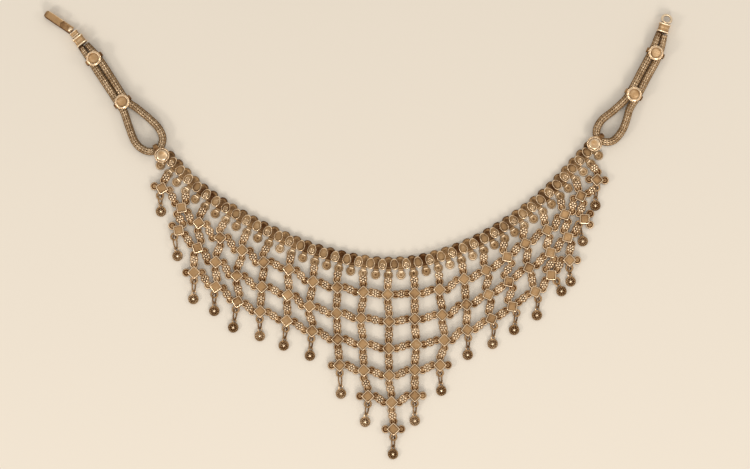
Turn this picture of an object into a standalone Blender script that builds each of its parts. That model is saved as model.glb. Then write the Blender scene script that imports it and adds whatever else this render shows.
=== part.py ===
"""Antique silver bib necklace, lying open and face up on the plane z = 0.

The bib is a net of square plaques on four-lobed wire bases, joined by round rosettes and hung
from a collar of oval links. A doubled woven chain runs from each end of the collar to the clasp.
X runs to the wearer's left along the collar, Y up towards the clasp, Z up off the surface.
Sizes are in millimetres; each finished mesh is brought to metres by UNIT.
"""
import math
from collections import namedtuple

import bmesh
import bpy
from mathutils import Matrix, Vector

UNIT = 0.001
NAME = "bib_necklace"
BITE = 0.4                 # how far a piece soldered on another sinks into it
WELD = 0.001               # points closer than this are one point

# Collar: oval links side by side, each a flat base loop with a cap on its face
LINKS = 42
COLLAR_ROUTE = [           # middle of the caps, left to right
    (-105.2, 51.5), (-93.8, 40.0), (-79.2, 29.3), (-59.1, 18.0), (-37.1, 8.7), (-14.6, 2.9),
    (3.0, 1.4), (20.7, 3.8), (42.3, 11.6), (62.0, 23.2), (79.6, 37.2), (97.6, 56.2)]
GATHER = 2.9               # the links' greatest slide to the right of an even spacing
GATHER_BIAS = 1.6          # above 1 puts that slide in the right half
LOOP_HALF = 3.05           # half width of a base loop; neighbours are soldered side by side
LOOP_TOP = 3.7             # reach of the loop above the caps' middle line
LOOP_WAIST = 2.2           # where its sides start to draw in
LOOP_FOOT = 5.4            # centre of the ring at its lower end
FOOT_RADIUS = 2.2
LOOP_THICK = 1.0
CAP_HALF_WIDTH = 2.15
CAP_HALF_HEIGHT = 2.6
CAP_TOP = 3.0
CAP_SIDES = 8
CAP_TAPER = 0.86           # top of a cap as a share of its base

# Net: plaques on lobed bases, rosettes between the lobes
PLATE_LOW = 1.3            # the bases lie this high, clear of the collar's rings
PLATE_HIGH = 2.1
PLAQUE_SIDE = 4.4
PLAQUE_TOP = 3.1
LOBE_REACH = 3.82          # from a plaque's centre to a lobe's centre
LOBE_RADIUS = 1.95
LOBE_SWEEP = 100           # half angle of a lobe's outer arc, in degrees
EYE_RADIUS = 1.25          # corner radius of a six-sided eye
ROSETTE_RADIUS = 1.95
ROSETTE_SIDES = 6          # one side to each granule of its border
ROSETTE_GRIP = 1.0         # least overlap of a rosette with each lobe it joins
TOP_ROSETTE = 0.52         # its place between the collar's eye and the first lobe

# Drops: a round disc on a link through the last lobe's eye
DISC_RADIUS = 2.57
DISC_TOP = 1.6
DISC_SIDES = 10
WIRE_HALF = 0.45           # half width of the link
WIRE_GAP = 0.35            # between the link and the lobe above it

# A strand hangs from every second collar ring. hang: from the ring's eye to the first plaque;
# pitch: between plaques; drop: from the last plaque to the disc; leans: degrees to the right of
# straight down, for the hang, each step and the drop; turns: of each plaque, counter-clockwise.
Strand = namedtuple("Strand", "hang pitch drop leans turns")
STRANDS = [
    Strand(7.8, 11.4, 11.4, (-23, -3), (-15,)),
    Strand(8.4, 11.1, 12.6, (-13, -7, -3), (-35, -35)),
    Strand(8.5, 12.2, 13.0, (-20, -3, -8, -2), (-9, -27, 0)),
    Strand(8.9, 12.1, 11.9, (-17, -10, 0, -4), (2, -4, -11)),
    Strand(9.0, 12.7, 12.9, (-14, -12, 2, -10), (-3, -3, -14)),
    Strand(9.4, 12.1, 12.1, (-15, -4, -4, -1), (4, -3, -3)),
    Strand(7.8, 12.6, 12.3, (-8, -2, -3, -7), (-8, -8, -7)),
    Strand(9.6, 12.2, 12.2, (-5, -8, 6, -5), (-5, -5, -5)),
    Strand(9.3, 12.7, 14.0, (-4, -1, 2, 4, 3), (2, 2, 2, 2)),
    Strand(9.2, 12.8, 12.7, (1, -5, 4, 2, 9, -6), (0, 0, 0, 0, 0)),
    Strand(9.4, 13.2, 12.3, (-2, 3, -1, 1, 5, 4, -1), (0, 0, 0, 0, 0, 0)),
    Strand(9.7, 12.5, 12.4, (3, 0, 3, -3, 0, 0), (0, 0, 0, 0, 0)),
    Strand(10.5, 12.4, 12.6, (3, 6, 5, -10, 3), (0, 0, 0, 0)),
    Strand(9.2, 12.5, 12.2, (8, 5, 2, 1), (7, 7, 7)),
    Strand(9.7, 11.9, 12.4, (7, 5, 7, 3), (20, 20, 20)),
    Strand(8.9, 12.2, 11.6, (8, 3, 8, 5), (34, 34, 34)),
    Strand(8.7, 12.0, 11.7, (4, 8, 15, 4), (20, 20, 20)),
    Strand(9.2, 11.1, 9.4, (13, 8, 2, 33), (18, 30, 42)),
    Strand(9.2, 11.2, 10.5, (14, 7, 4, 4), (23, 30, 0)),
    Strand(8.2, 11.4, 10.9, (16, 9, -4), (20, 43)),
    Strand(8.4, 12.6, 12.6, (20, -3), (-4,))]

# Woven straps: each is one chain laid double, its ends in the ferrule, its fold through the bail.
# bail: number of the fold's point that lies in the end button's bail
CHAIN_RADIUS = 1.8
CHAIN_HEIGHT = 2.6         # of its middle line; it lies on the slides' backs
CHAIN_STEP = 4.6           # between the points of the route
CHAIN_APART = 3.9          # between the two runs
PINCH = 0.74               # both runs draw in by this much at the ferrule
Strap = namedtuple("Strap", "side ferrule slides fold bail button")
STRAPS = [
    Strap("left", (-150.3, 110.7), ((-143.3, 101.8), (-129.4, 80.7)),
          [(-128.7, 75.9), (-126.3, 68.8), (-123.8, 62.2), (-120.9, 58.5), (-116.7, 56.5),
           (-112.4, 57.3), (-110.2, 60.2), (-110.0, 64.2), (-112.5, 68.8), (-117.6, 73.7),
           (-122.7, 77.8)], 5, (-110.0, 54.6)),
    Strap("right", (135.2, 116.8), ((131.1, 104.5), (120.5, 84.3)),
          [(116.0, 81.4), (110.2, 76.1), (104.9, 71.8), (102.4, 67.0), (103.4, 62.9),
           (107.2, 61.1), (111.2, 62.3), (115.0, 67.0), (117.1, 72.4), (118.7, 77.7)],
          4, (101.1, 60.1))]

SLEEVE_WALL = 0.5
SLEEVE_GAP = 0.35
SLEEVE_LENGTH = 2.2        # along the chain
BAIL_PLAY = 0.3            # more room at the sides where the chain bends
SLIDE_RADIUS = 3.65
SLIDE_RIM = 0.75           # width of its raised rim
SLIDE_SINK = 0.5           # depth of the face inside the rim
SLIDE_TOP = 6.0
ROUND_SIDES = 12
BUTTON_RADIUS = 3.7
BUTTON_FACE = 2.7          # radius of the smooth dome inside the beaded rim
BUTTON_STEP = 0.6
POST_INSET = 3.5           # from the middle of the end cap out to the button's post
POST_RADIUS = 0.6

# Clasp
FERRULE_WIDTH = 5.6
FERRULE_LENGTH = 4.6
FERRULE_HIGH = 5.0
FERRULE_GAP = 0.3
COLLET_LENGTH = 2.6        # the narrower cap on the left ferrule
COLLET_WIDTH = 4.2
COLLET_GROOVE = 0.5
COLLET_NECK = 3.2          # width of the neck in that groove
COLLET_LOW = 0.2
COLLET_DROP = 0.6          # the collet's top lies this much lower than the ferrule's
HOOK_SWING = 18            # turn of the hook from the ferrule's line, in degrees
HOOK_CLEAR = 0.5           # between the collet and the hook's root
HOOK_LOW = 0.6
HOOK_LENGTH = 16.4
HOOK_WIDTH = 3.9
HOOK_SHEET = 0.9
HOOK_THROAT = 1.3          # space between the two leaves
HOOK_MOUTH = 9.3           # length of the upper leaf
HOOK_NOSE = 1.4            # solid length of the fold at its tip
HOOK_BALL = 1.3
RING_RADIUS = 2.35
RING_WIRE = 0.55
RING_TILT = 25

SILVER = (0.58, 0.45, 0.35, 1.0)
MATERIALS = {              # colour, roughness
    "net_silver": (SILVER, 0.42),
    "collar_silver": ((0.56, 0.43, 0.33, 1.0), 0.42),
    "drop_silver": ((0.60, 0.46, 0.36, 1.0), 0.40),
    "chain_silver": ((0.44, 0.34, 0.26, 1.0), 0.50),
    "mount_silver": ((0.64, 0.51, 0.40, 1.0), 0.36)}


# Scene helpers

def clear_scene():
    """Remove whatever the file opened with."""
    for thing in list(bpy.data.objects):
        bpy.data.objects.remove(thing, do_unlink=True)


def new_collection(name):
    """Make a collection in the scene."""
    made = bpy.data.collections.new(name)
    bpy.context.scene.collection.children.link(made)
    return made


def make_material(name):
    """One metal with its own colour and roughness."""
    colour, roughness = MATERIALS[name]
    material = bpy.data.materials.new(name)
    material.use_nodes = True
    shader = material.node_tree.nodes["Principled BSDF"]
    shader.inputs["Base Color"].default_value = colour
    shader.inputs["Metallic"].default_value = 1.0
    shader.inputs["Roughness"].default_value = roughness
    return material


def baked(holder):
    """Turn an object with its modifiers or curve into a plain welded mesh object."""
    graph = bpy.context.evaluated_depsgraph_get()
    graph.update()
    mesh = bpy.data.meshes.new_from_object(holder.evaluated_get(graph))
    mesh.transform(holder.matrix_world)
    form = bmesh.new()
    form.from_mesh(mesh)
    bmesh.ops.remove_doubles(form, verts=form.verts, dist=WELD)
    bmesh.ops.recalc_face_normals(form, faces=form.faces)
    form.to_mesh(mesh)
    form.free()
    name = holder.name
    bpy.data.objects.remove(holder, do_unlink=True)
    result = bpy.data.objects.new(name, mesh)
    bpy.context.scene.collection.objects.link(result)
    return result


def mesh_object(name, form):
    """Object made of a bmesh, which is freed."""
    mesh = bpy.data.meshes.new(name)
    form.to_mesh(mesh)
    form.free()
    made = bpy.data.objects.new(name, mesh)
    bpy.context.scene.collection.objects.link(made)
    return made


def combine(base, others, operation="UNION"):
    """Boolean the others into the base one after another and drop them."""
    for other in others:
        step = base.modifiers.new("combine", "BOOLEAN")
        step.operation = operation
        step.solver = "EXACT"
        step.object = other
        base = baked(base)
        bpy.data.objects.remove(other, do_unlink=True)
    return base


# Shapes

def outline_prisms(name, outlines, low, high):
    """Closed prisms between two heights; an outline inside another is a hole."""
    curve = bpy.data.curves.new(name, "CURVE")
    curve.dimensions = "2D"
    curve.fill_mode = "BOTH"
    curve.extrude = (high - low) / 2
    for outline in outlines:
        spline = curve.splines.new("POLY")
        spline.points.add(len(outline) - 1)
        for point, place in zip(spline.points, outline):
            point.co = (place[0], place[1], 0, 1)
        spline.use_cyclic_u = True
    holder = bpy.data.objects.new(name, curve)
    holder.location.z = (low + high) / 2
    bpy.context.scene.collection.objects.link(holder)
    return baked(holder)


def frusta(name, frames, sides, low, high, radius, top_share=1.0, stretch=(1.0, 1.0)):
    """One straight-sided frustum on each frame, a flat side towards the frame's X."""
    form = bmesh.new()
    for frame in frames:
        placed = (frame @ Matrix.Translation((0, 0, (low + high) / 2))
                  @ Matrix.Diagonal((stretch[0], stretch[1], 1, 1))
                  @ Matrix.Rotation(math.pi / sides, 4, "Z"))
        bmesh.ops.create_cone(form, cap_ends=True, segments=sides, radius1=radius,
                              radius2=radius * top_share, depth=high - low, matrix=placed)
    return mesh_object(name, form)


def box(name, frame, along, across, heights):
    """Box given by its limits along and across a frame and in height."""
    form = bmesh.new()
    middle = [(limits[0] + limits[1]) / 2 for limits in (along, across, heights)]
    size = [limits[1] - limits[0] for limits in (along, across, heights)]
    bmesh.ops.create_cube(form, size=1.0, matrix=frame @ Matrix.Translation(middle)
                          @ Matrix.Diagonal((*size, 1)))
    return mesh_object(name, form)


def tube(name, places, radius, resolution):
    """Round tube along (x, y, z, share of the radius) places, its ends closed."""
    curve = bpy.data.curves.new(name, "CURVE")
    curve.dimensions = "3D"
    curve.bevel_depth = radius
    curve.bevel_resolution = resolution
    curve.use_fill_caps = True
    spline = curve.splines.new("POLY")
    spline.points.add(len(places) - 1)
    for point, place in zip(spline.points, places):
        point.co = (place[0], place[1], place[2], 1)
        point.radius = place[3]
    holder = bpy.data.objects.new(name, curve)
    bpy.context.scene.collection.objects.link(holder)
    return baked(holder)


def frame_at(place, angle):
    """Frame lying on the surface with its X turned by an angle."""
    return Matrix.Translation((place[0], place[1], 0)) @ Matrix.Rotation(angle, 4, "Z")


def on_frame(frame, points):
    """Carry flat points given in a frame to the surface."""
    return [(frame @ Vector((x, y, 0))).to_2d() for x, y in points]


def ring_points(centre, radius, sides):
    """Corners of a regular outline."""
    return [(centre[0] + radius * math.cos(math.tau * i / sides),
             centre[1] + radius * math.sin(math.tau * i / sides)) for i in range(sides)]


# Routes

def smooth_route(points, step):
    """Even places on a Catmull-Rom curve through the points."""
    ends = [2 * Vector(points[0]) - Vector(points[1]), 2 * Vector(points[-1]) - Vector(points[-2])]
    knots = [ends[0]] + [Vector(point) for point in points] + [ends[1]]
    fine = []
    for i in range(1, len(knots) - 2):
        a, b, c, d = knots[i - 1:i + 3]
        for j in range(40):
            t = j / 40
            fine.append(0.5 * (2 * b + (c - a) * t + (2 * a - 5 * b + 4 * c - d) * t ** 2
                               + (3 * b - a - 3 * c + d) * t ** 3))
    fine.append(knots[-2])
    lengths = [0.0]
    for start, end in zip(fine, fine[1:]):
        lengths.append(lengths[-1] + (end - start).length)
    count = max(2, round(lengths[-1] / step))
    route = []
    index = 0
    for i in range(count + 1):
        goal = lengths[-1] * i / count
        while index < len(fine) - 2 and lengths[index + 1] < goal:
            index += 1
        share = (goal - lengths[index]) / (lengths[index + 1] - lengths[index])
        route.append(fine[index].lerp(fine[index + 1], share))
    return route


class Collar:
    """Places along the collar, counted in links from the first cap."""

    def __init__(self):
        self.step = 0.1
        self.route = smooth_route(COLLAR_ROUTE, self.step)
        self.length = self.step * (len(self.route) - 1)

    def frame(self, link):
        """Frame with X along the collar and Y up, at a link's place."""
        share = link / (LINKS - 1)
        slide = GATHER * math.sin(math.pi * share ** GATHER_BIAS) if 0 < share < 1 else 0.0
        along = self.length * share + slide
        index = min(max(round(along / self.step), 5), len(self.route) - 6)
        direction = (self.route[index + 5] - self.route[index - 5]).normalized()
        place = self.route[index] + direction * (along - index * self.step)
        return frame_at(place, math.atan2(direction.y, direction.x))

    def eye(self, link):
        """Centre of the ring at the lower end of a base loop."""
        return (self.frame(link + 0.5) @ Vector((0, -LOOP_FOOT, 0))).to_2d()


def downward(lean):
    """Unit vector pointing down, leaning to the right by some degrees."""
    return Vector((math.sin(math.radians(lean)), -math.cos(math.radians(lean))))


def lay_strands(collar):
    """Centre and turn of every plaque, strand by strand, and each drop's disc centre."""
    net = []
    discs = []
    for number, strand in enumerate(STRANDS):
        place = collar.eye(2 * number) + downward(strand.leans[0]) * strand.hang
        plaques = []
        for turn, lean in zip(strand.turns, strand.leans[1:]):
            plaques.append((place, math.radians(turn)))
            last = place
            place = place + downward(lean) * strand.pitch
        net.append(plaques)
        discs.append(last + downward(strand.leans[-1]) * strand.drop)
    return net, discs


def nearest_lobe(plaque, goal):
    """Centre of the plaque's lobe that is nearest to a place."""
    centre, turn = plaque
    lobes = [centre + Vector((LOBE_REACH * math.cos(turn + i * math.pi / 2),
                              LOBE_REACH * math.sin(turn + i * math.pi / 2))) for i in range(4)]
    return min(lobes, key=lambda lobe: (lobe - goal).length)


# Net

def base_outline(frame):
    """Outline of a four-lobed base, four corners to a lobe and one in each waist."""
    points = []
    for i in range(4):
        quarter = i * math.pi / 2
        centre = (LOBE_REACH * math.cos(quarter), LOBE_REACH * math.sin(quarter))
        for j in range(4):
            angle = quarter + math.radians(LOBE_SWEEP) * (2 * j / 3 - 1)
            points.append((centre[0] + LOBE_RADIUS * math.cos(angle),
                           centre[1] + LOBE_RADIUS * math.sin(angle)))
    return on_frame(frame, points)


def joining_rosettes(net):
    """Frame and stretch of the rosette between each two lobes that are joined."""
    pairs = []
    for number, strand in enumerate(net):
        pairs += list(zip(strand, strand[1:]))
        if number + 1 < len(net):
            pairs += list(zip(strand, net[number + 1]))
    rosettes = []
    for first, second in pairs:
        start = nearest_lobe(first, second[0])
        end = nearest_lobe(second, first[0])
        run = end - start
        reach = max(ROSETTE_RADIUS, run.length / 2 - LOBE_RADIUS + ROSETTE_GRIP)
        rosettes.append((frame_at((start + end) / 2, math.atan2(run.y, run.x)),
                         reach / ROSETTE_RADIUS))
    return rosettes


def make_net(collar, net, discs):
    """The bib: all plaques, their bases and the rosettes in one soldered piece."""
    boards = ([], [], [], [])
    for number, (strand, disc) in enumerate(zip(net, discs)):
        for row, plaque in enumerate(strand):
            boards[number % 2 + 2 * (row % 2)].append(base_outline(frame_at(*plaque)))
        eye = ring_points(nearest_lobe(strand[-1], disc), EYE_RADIUS, 6)
        boards[number % 2 + 2 * ((len(strand) - 1) % 2)].append(eye)
    plates = [outline_prisms("bib_net", board, PLATE_LOW, PLATE_HIGH) for board in boards]

    form = bmesh.new()
    thickness = PLATE_HIGH - PLATE_LOW
    middle = Matrix.Translation((0, 0, (PLATE_LOW + PLATE_HIGH) / 2))
    flat_side = Matrix.Rotation(math.pi / ROSETTE_SIDES, 4, "Z")
    rosettes = joining_rosettes(net)
    for number, strand in enumerate(net):
        eye = collar.eye(2 * number)
        run = nearest_lobe(strand[0], eye) - eye
        rosettes.append((frame_at(eye + run * TOP_ROSETTE, math.atan2(run.y, run.x)), 1.0))
    for frame, stretch in rosettes:
        bmesh.ops.create_cone(form, cap_ends=True, segments=ROSETTE_SIDES, radius1=ROSETTE_RADIUS,
                              radius2=ROSETTE_RADIUS, depth=thickness,
                              matrix=frame @ middle @ Matrix.Diagonal((stretch, 1, 1, 1))
                              @ flat_side)
    plaques = frusta("plaques", [frame_at(*plaque) @ Matrix.Rotation(math.pi / 4, 4, "Z")
                                 for strand in net for plaque in strand],
                     4, PLATE_HIGH - BITE, PLAQUE_TOP, PLAQUE_SIDE / math.sqrt(2), 0.97)
    return combine(plates[0], plates[1:] + [mesh_object("rosettes", form), plaques])


# Collar

def loop_outline(frame):
    """Outline of a base loop, wide behind the cap and round at its foot."""
    half = [(0.65 * LOOP_HALF, LOOP_TOP), (LOOP_HALF, -LOOP_WAIST),
            (FOOT_RADIUS, -LOOP_FOOT), (0.5 * FOOT_RADIUS, -LOOP_FOOT - 0.87 * FOOT_RADIUS)]
    return on_frame(frame, half + [(-x, y) for x, y in reversed(half)])


def make_collar(collar):
    """All links of the collar as one chain that is fused side by side."""
    rows = ([], [])
    for link in range(-1, LINKS):
        outlines = [loop_outline(collar.frame(link + 0.5)),
                    ring_points(collar.eye(link), EYE_RADIUS, 6)]
        rows[link % 2].extend(outlines)
    posts = [collar.frame(0) @ Vector((-POST_INSET, 0, 0)),
             collar.frame(LINKS - 1) @ Vector((POST_INSET, 0, 0))]
    rows[1].append(ring_points(posts[0], EYE_RADIUS, 6))
    rows[(LINKS - 1) % 2].append(ring_points(posts[1], EYE_RADIUS, 6))
    loops = [outline_prisms("collar_chain", row, 0.0, LOOP_THICK) for row in rows]
    caps = frusta("caps", [collar.frame(link) for link in range(LINKS)], CAP_SIDES,
                  LOOP_THICK - BITE, CAP_TOP, 1.0, CAP_TAPER, (CAP_HALF_WIDTH, CAP_HALF_HEIGHT))
    return combine(loops[0], [loops[1], caps])


# Drops

def make_drop(number, plaque, disc):
    """Round disc on a link whose wire runs under the last lobe and up through its eye."""
    name = f"drop_{number:02d}"
    run = nearest_lobe(plaque, disc) - disc
    frame = frame_at(disc, math.atan2(run.y, run.x))
    reach = run.length
    body = frusta(name, [frame], DISC_SIDES, 0.0, DISC_TOP, DISC_RADIUS, 0.93)
    link = box("link", frame, (DISC_RADIUS - BITE, reach + WIRE_HALF), (-WIRE_HALF, WIRE_HALF),
               (0.1, PLATE_LOW - WIRE_GAP))
    slim = WIRE_HALF - 0.05
    peg = box("peg", frame, (reach - slim, reach + slim), (-slim, slim),
              (PLATE_LOW / 2, PLATE_HIGH + BITE))
    return combine(body, [combine(link, [peg])])


# Straps

def strap_runs(strap):
    """Middle places of the doubled chain from the ferrule, round the fold and back."""
    start = Vector(strap.ferrule)
    first, second = (Vector(slide) for slide in strap.slides)
    mid = [start + (first - start).normalized() * (FERRULE_LENGTH / 2 + FERRULE_GAP),
           first, (first + second) / 2, second]
    across = []
    for i, place in enumerate(mid):
        ahead = mid[min(i + 1, 3)] - mid[max(i - 1, 0)]
        half = CHAIN_APART / 2 * (PINCH if i == 0 else 1.0)
        across.append(Vector((-ahead.y, ahead.x)).normalized() * half)
    side = -1 if (Vector(strap.fold[0]) - second).dot(across[3]) < 0 else 1
    down = [place + side * offset for place, offset in zip(mid, across)]
    back = [place - side * offset for place, offset in zip(mid, across)]
    return down + [Vector(place) for place in strap.fold] + back[::-1]


def make_chain(strap):
    """Woven chain laid double, as one tube."""
    route = smooth_route(strap_runs(strap), CHAIN_STEP)
    last = len(route) - 1
    places = []
    for i, place in enumerate(route):
        share = min(1.0, PINCH + (1 - PINCH) * min(i, last - i) / 3)
        places.append((place.x, place.y, CHAIN_HEIGHT, share))
    return tube(f"woven_chain_{strap.side}", places, CHAIN_RADIUS, 2)


def sleeve(frame, half_width, top):
    """Flat loop round the chain, its channel along the frame's X."""
    inner = CHAIN_RADIUS + SLEEVE_GAP
    outer = box("sleeve", frame, (-SLEEVE_LENGTH / 2, SLEEVE_LENGTH / 2),
                (-half_width - SLEEVE_WALL, half_width + SLEEVE_WALL), (0.0, top))
    channel = box("channel", frame, (-SLEEVE_LENGTH, SLEEVE_LENGTH), (-half_width, half_width),
                  (CHAIN_HEIGHT - inner, CHAIN_HEIGHT + inner))
    return combine(outer, [channel], "DIFFERENCE")


def make_slide(strap, index):
    """Slide: a round tray on a flat sleeve round both runs of the chain."""
    place = Vector(strap.slides[index])
    ahead = Vector(strap.slides[1]) - Vector(strap.ferrule if index else strap.slides[0])
    frame = frame_at(place, math.atan2(ahead.y, ahead.x))
    floor = CHAIN_HEIGHT + CHAIN_RADIUS + SLEEVE_GAP
    body = sleeve(frame, CHAIN_APART / 2 + CHAIN_RADIUS + SLEEVE_GAP, floor + SLEEVE_WALL)
    tray = frusta("tray", [frame], ROUND_SIDES, floor + 0.1, SLIDE_TOP, SLIDE_RADIUS, 0.95)
    pit = frusta("pit", [frame], ROUND_SIDES, SLIDE_TOP - SLIDE_SINK, SLIDE_TOP + 1.0,
                 SLIDE_RADIUS - SLIDE_RIM)
    made = combine(combine(body, [tray]), [pit], "DIFFERENCE")
    made.name = f"slide_{strap.side}_{'upper' if index == 0 else 'lower'}"
    return made


def make_button(strap, collar):
    """End button: a domed disc with a stepped rim, a bail round the chain's fold and a post."""
    button = Vector(strap.button)
    bail = Vector(strap.fold[strap.bail])
    run = Vector(strap.fold[strap.bail + 1]) - Vector(strap.fold[strap.bail - 1])
    floor = CHAIN_HEIGHT + CHAIN_RADIUS + SLEEVE_GAP
    frame = frame_at(bail, math.atan2(run.y, run.x))
    body = sleeve(frame, CHAIN_RADIUS + SLEEVE_GAP + BAIL_PLAY, floor + SLEEVE_WALL)
    flat = frame_at(button, 0)
    rim = frusta("rim", [flat], ROUND_SIDES, floor + 0.1, SLIDE_TOP - BUTTON_STEP, BUTTON_RADIUS)
    dome = frusta("dome", [flat], ROUND_SIDES, floor + 0.2, SLIDE_TOP, BUTTON_FACE, 0.75)
    end = 0 if strap.side == "left" else LINKS - 1
    inset = -POST_INSET if strap.side == "left" else POST_INSET
    post_place = (collar.frame(end) @ Vector((inset, 0, 0))).to_2d()
    post = frusta("post", [frame_at(post_place, 0)], 6, 0.0, floor + 0.3, POST_RADIUS)
    made = combine(body, [rim, dome, post])
    made.name = f"end_button_{strap.side}"
    return made


# Clasp

def clasp_frame(strap):
    """Frame at the ferrule with X pointing away from the strap."""
    away = Vector(strap.ferrule) - Vector(strap.slides[0])
    return frame_at(strap.ferrule, math.atan2(away.y, away.x))


def make_ferrule(strap):
    """Ferrule: a block with chamfered ends; the right one carries the clasp's ring."""
    frame = clasp_frame(strap)
    half = FERRULE_LENGTH / 2
    body = box(f"ferrule_{strap.side}", frame, (-half, half),
               (-FERRULE_WIDTH / 2, FERRULE_WIDTH / 2), (0.0, FERRULE_HIGH))
    edges = body.modifiers.new("edges", "BEVEL")
    edges.width = 0.6
    edges.segments = 1
    body = baked(body)
    if strap.side == "left":
        neck = box("neck", frame, (half - BITE, half + COLLET_GROOVE + BITE),
                   (-COLLET_NECK / 2, COLLET_NECK / 2),
                   (COLLET_LOW + BITE, FERRULE_HIGH - COLLET_DROP - BITE))
        collet = box("collet", frame, (half + COLLET_GROOVE, half + COLLET_GROOVE + COLLET_LENGTH),
                     (-COLLET_WIDTH / 2, COLLET_WIDTH / 2), (COLLET_LOW, FERRULE_HIGH - COLLET_DROP))
        return combine(body, [neck, collet])
    turned = (frame @ Matrix.Translation((half + RING_RADIUS, 0, FERRULE_HIGH / 2))
              @ Matrix.Rotation(math.radians(RING_TILT), 4, "Y"))
    places = [turned @ Vector((*place, 0)) for place in ring_points((0, 0), RING_RADIUS, 12)]
    return combine(body, [ring_of_wire("clasp_ring", places, RING_WIRE)])


def ring_of_wire(name, places, radius):
    """Closed ring of six-sided wire through the places."""
    curve = bpy.data.curves.new(name, "CURVE")
    curve.dimensions = "3D"
    curve.bevel_depth = radius
    curve.bevel_resolution = 1
    spline = curve.splines.new("POLY")
    spline.points.add(len(places) - 1)
    for point, place in zip(spline.points, places):
        point.co = (*place, 1)
    spline.use_cyclic_u = True
    holder = bpy.data.objects.new(name, curve)
    bpy.context.scene.collection.objects.link(holder)
    return baked(holder)


def make_hook(strap):
    """Folded sheet hook with a round tip and a ball at its root."""
    root = FERRULE_LENGTH / 2 + COLLET_GROOVE + COLLET_LENGTH + HOOK_CLEAR
    frame = (clasp_frame(strap) @ Matrix.Translation((root, 0, 0))
             @ Matrix.Rotation(math.radians(HOOK_SWING), 4, "Z"))
    high = HOOK_LOW + 2 * HOOK_SHEET + HOOK_THROAT
    half = HOOK_WIDTH / 2
    tip = HOOK_LENGTH
    past = HOOK_WIDTH           # the cutters reach this far past the leaves
    leaf = box("clasp_hook", frame, (HOOK_BALL / 2, tip), (-half, half), (HOOK_LOW, high))
    throat = box("throat", frame, (-past, tip - HOOK_NOSE), (-past, past),
                 (HOOK_LOW + HOOK_SHEET, high - HOOK_SHEET))
    mouth = box("mouth", frame, (-past, tip - HOOK_MOUTH), (-past, past),
                (HOOK_LOW + HOOK_SHEET, high + past))
    leaf = combine(leaf, [throat, mouth], "DIFFERENCE")
    bow = [(tip - half + half * math.cos(math.radians(a)), half * math.sin(math.radians(a)))
           for a in range(-90, 91, 30)]
    plan = outline_prisms("plan", [on_frame(frame, [(0.0, half + WELD), (0.0, -half - WELD)]
                                            + bow)], 0.0, high + past)
    leaf = combine(leaf, [plan], "INTERSECT")
    form = bmesh.new()
    bmesh.ops.create_uvsphere(form, u_segments=10, v_segments=6, radius=HOOK_BALL,
                              matrix=frame @ Matrix.Translation((HOOK_BALL, 0, HOOK_LOW + HOOK_BALL)))
    return combine(leaf, [mesh_object("ball", form)])


# Assembly

def finish(piece, collection, material):
    """Bring a piece to metres, triangle it and file it in its collection."""
    form = bmesh.new()
    form.from_mesh(piece.data)
    bmesh.ops.dissolve_limit(form, angle_limit=math.radians(0.5), verts=form.verts,
                             edges=form.edges)
    bmesh.ops.triangulate(form, faces=form.faces)
    form.to_mesh(piece.data)
    form.free()
    piece.data.transform(Matrix.Scale(UNIT, 4))
    piece.data.materials.clear()
    piece.data.materials.append(material)
    for owner in list(piece.users_collection):
        owner.objects.unlink(piece)
    collection.objects.link(piece)


def main():
    """Build every piece of the necklace."""
    clear_scene()
    collection = new_collection(NAME)
    metals = {name: make_material(name) for name in MATERIALS}
    collar = Collar()
    net, discs = lay_strands(collar)
    made = [(make_net(collar, net, discs), "net_silver"), (make_collar(collar), "collar_silver")]
    for number, (strand, disc) in enumerate(zip(net, discs), start=1):
        made.append((make_drop(number, strand[-1], disc), "drop_silver"))
    for strap in STRAPS:
        made.append((make_chain(strap), "chain_silver"))
        made.append((make_ferrule(strap), "mount_silver"))
        made.append((make_button(strap, collar), "mount_silver"))
        made += [(make_slide(strap, index), "mount_silver") for index in range(2)]
    made.append((make_hook(STRAPS[0]), "mount_silver"))
    for piece, metal in made:
        finish(piece, collection, metals[metal])


main()
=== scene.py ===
"""Antique silver bib necklace, dressed on its CAD frame.

Shapes are worked out in millimetres in the frame of the part and brought to metres by MM. Each
form carries two values a point: a level of shine and painted shading, from dark in the oxidised
recesses and in painted shade to bright on rubbed edges and painted highlights, and tone, which
differs a little from one copy to the next.
"""
import math
from collections import namedtuple

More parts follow.
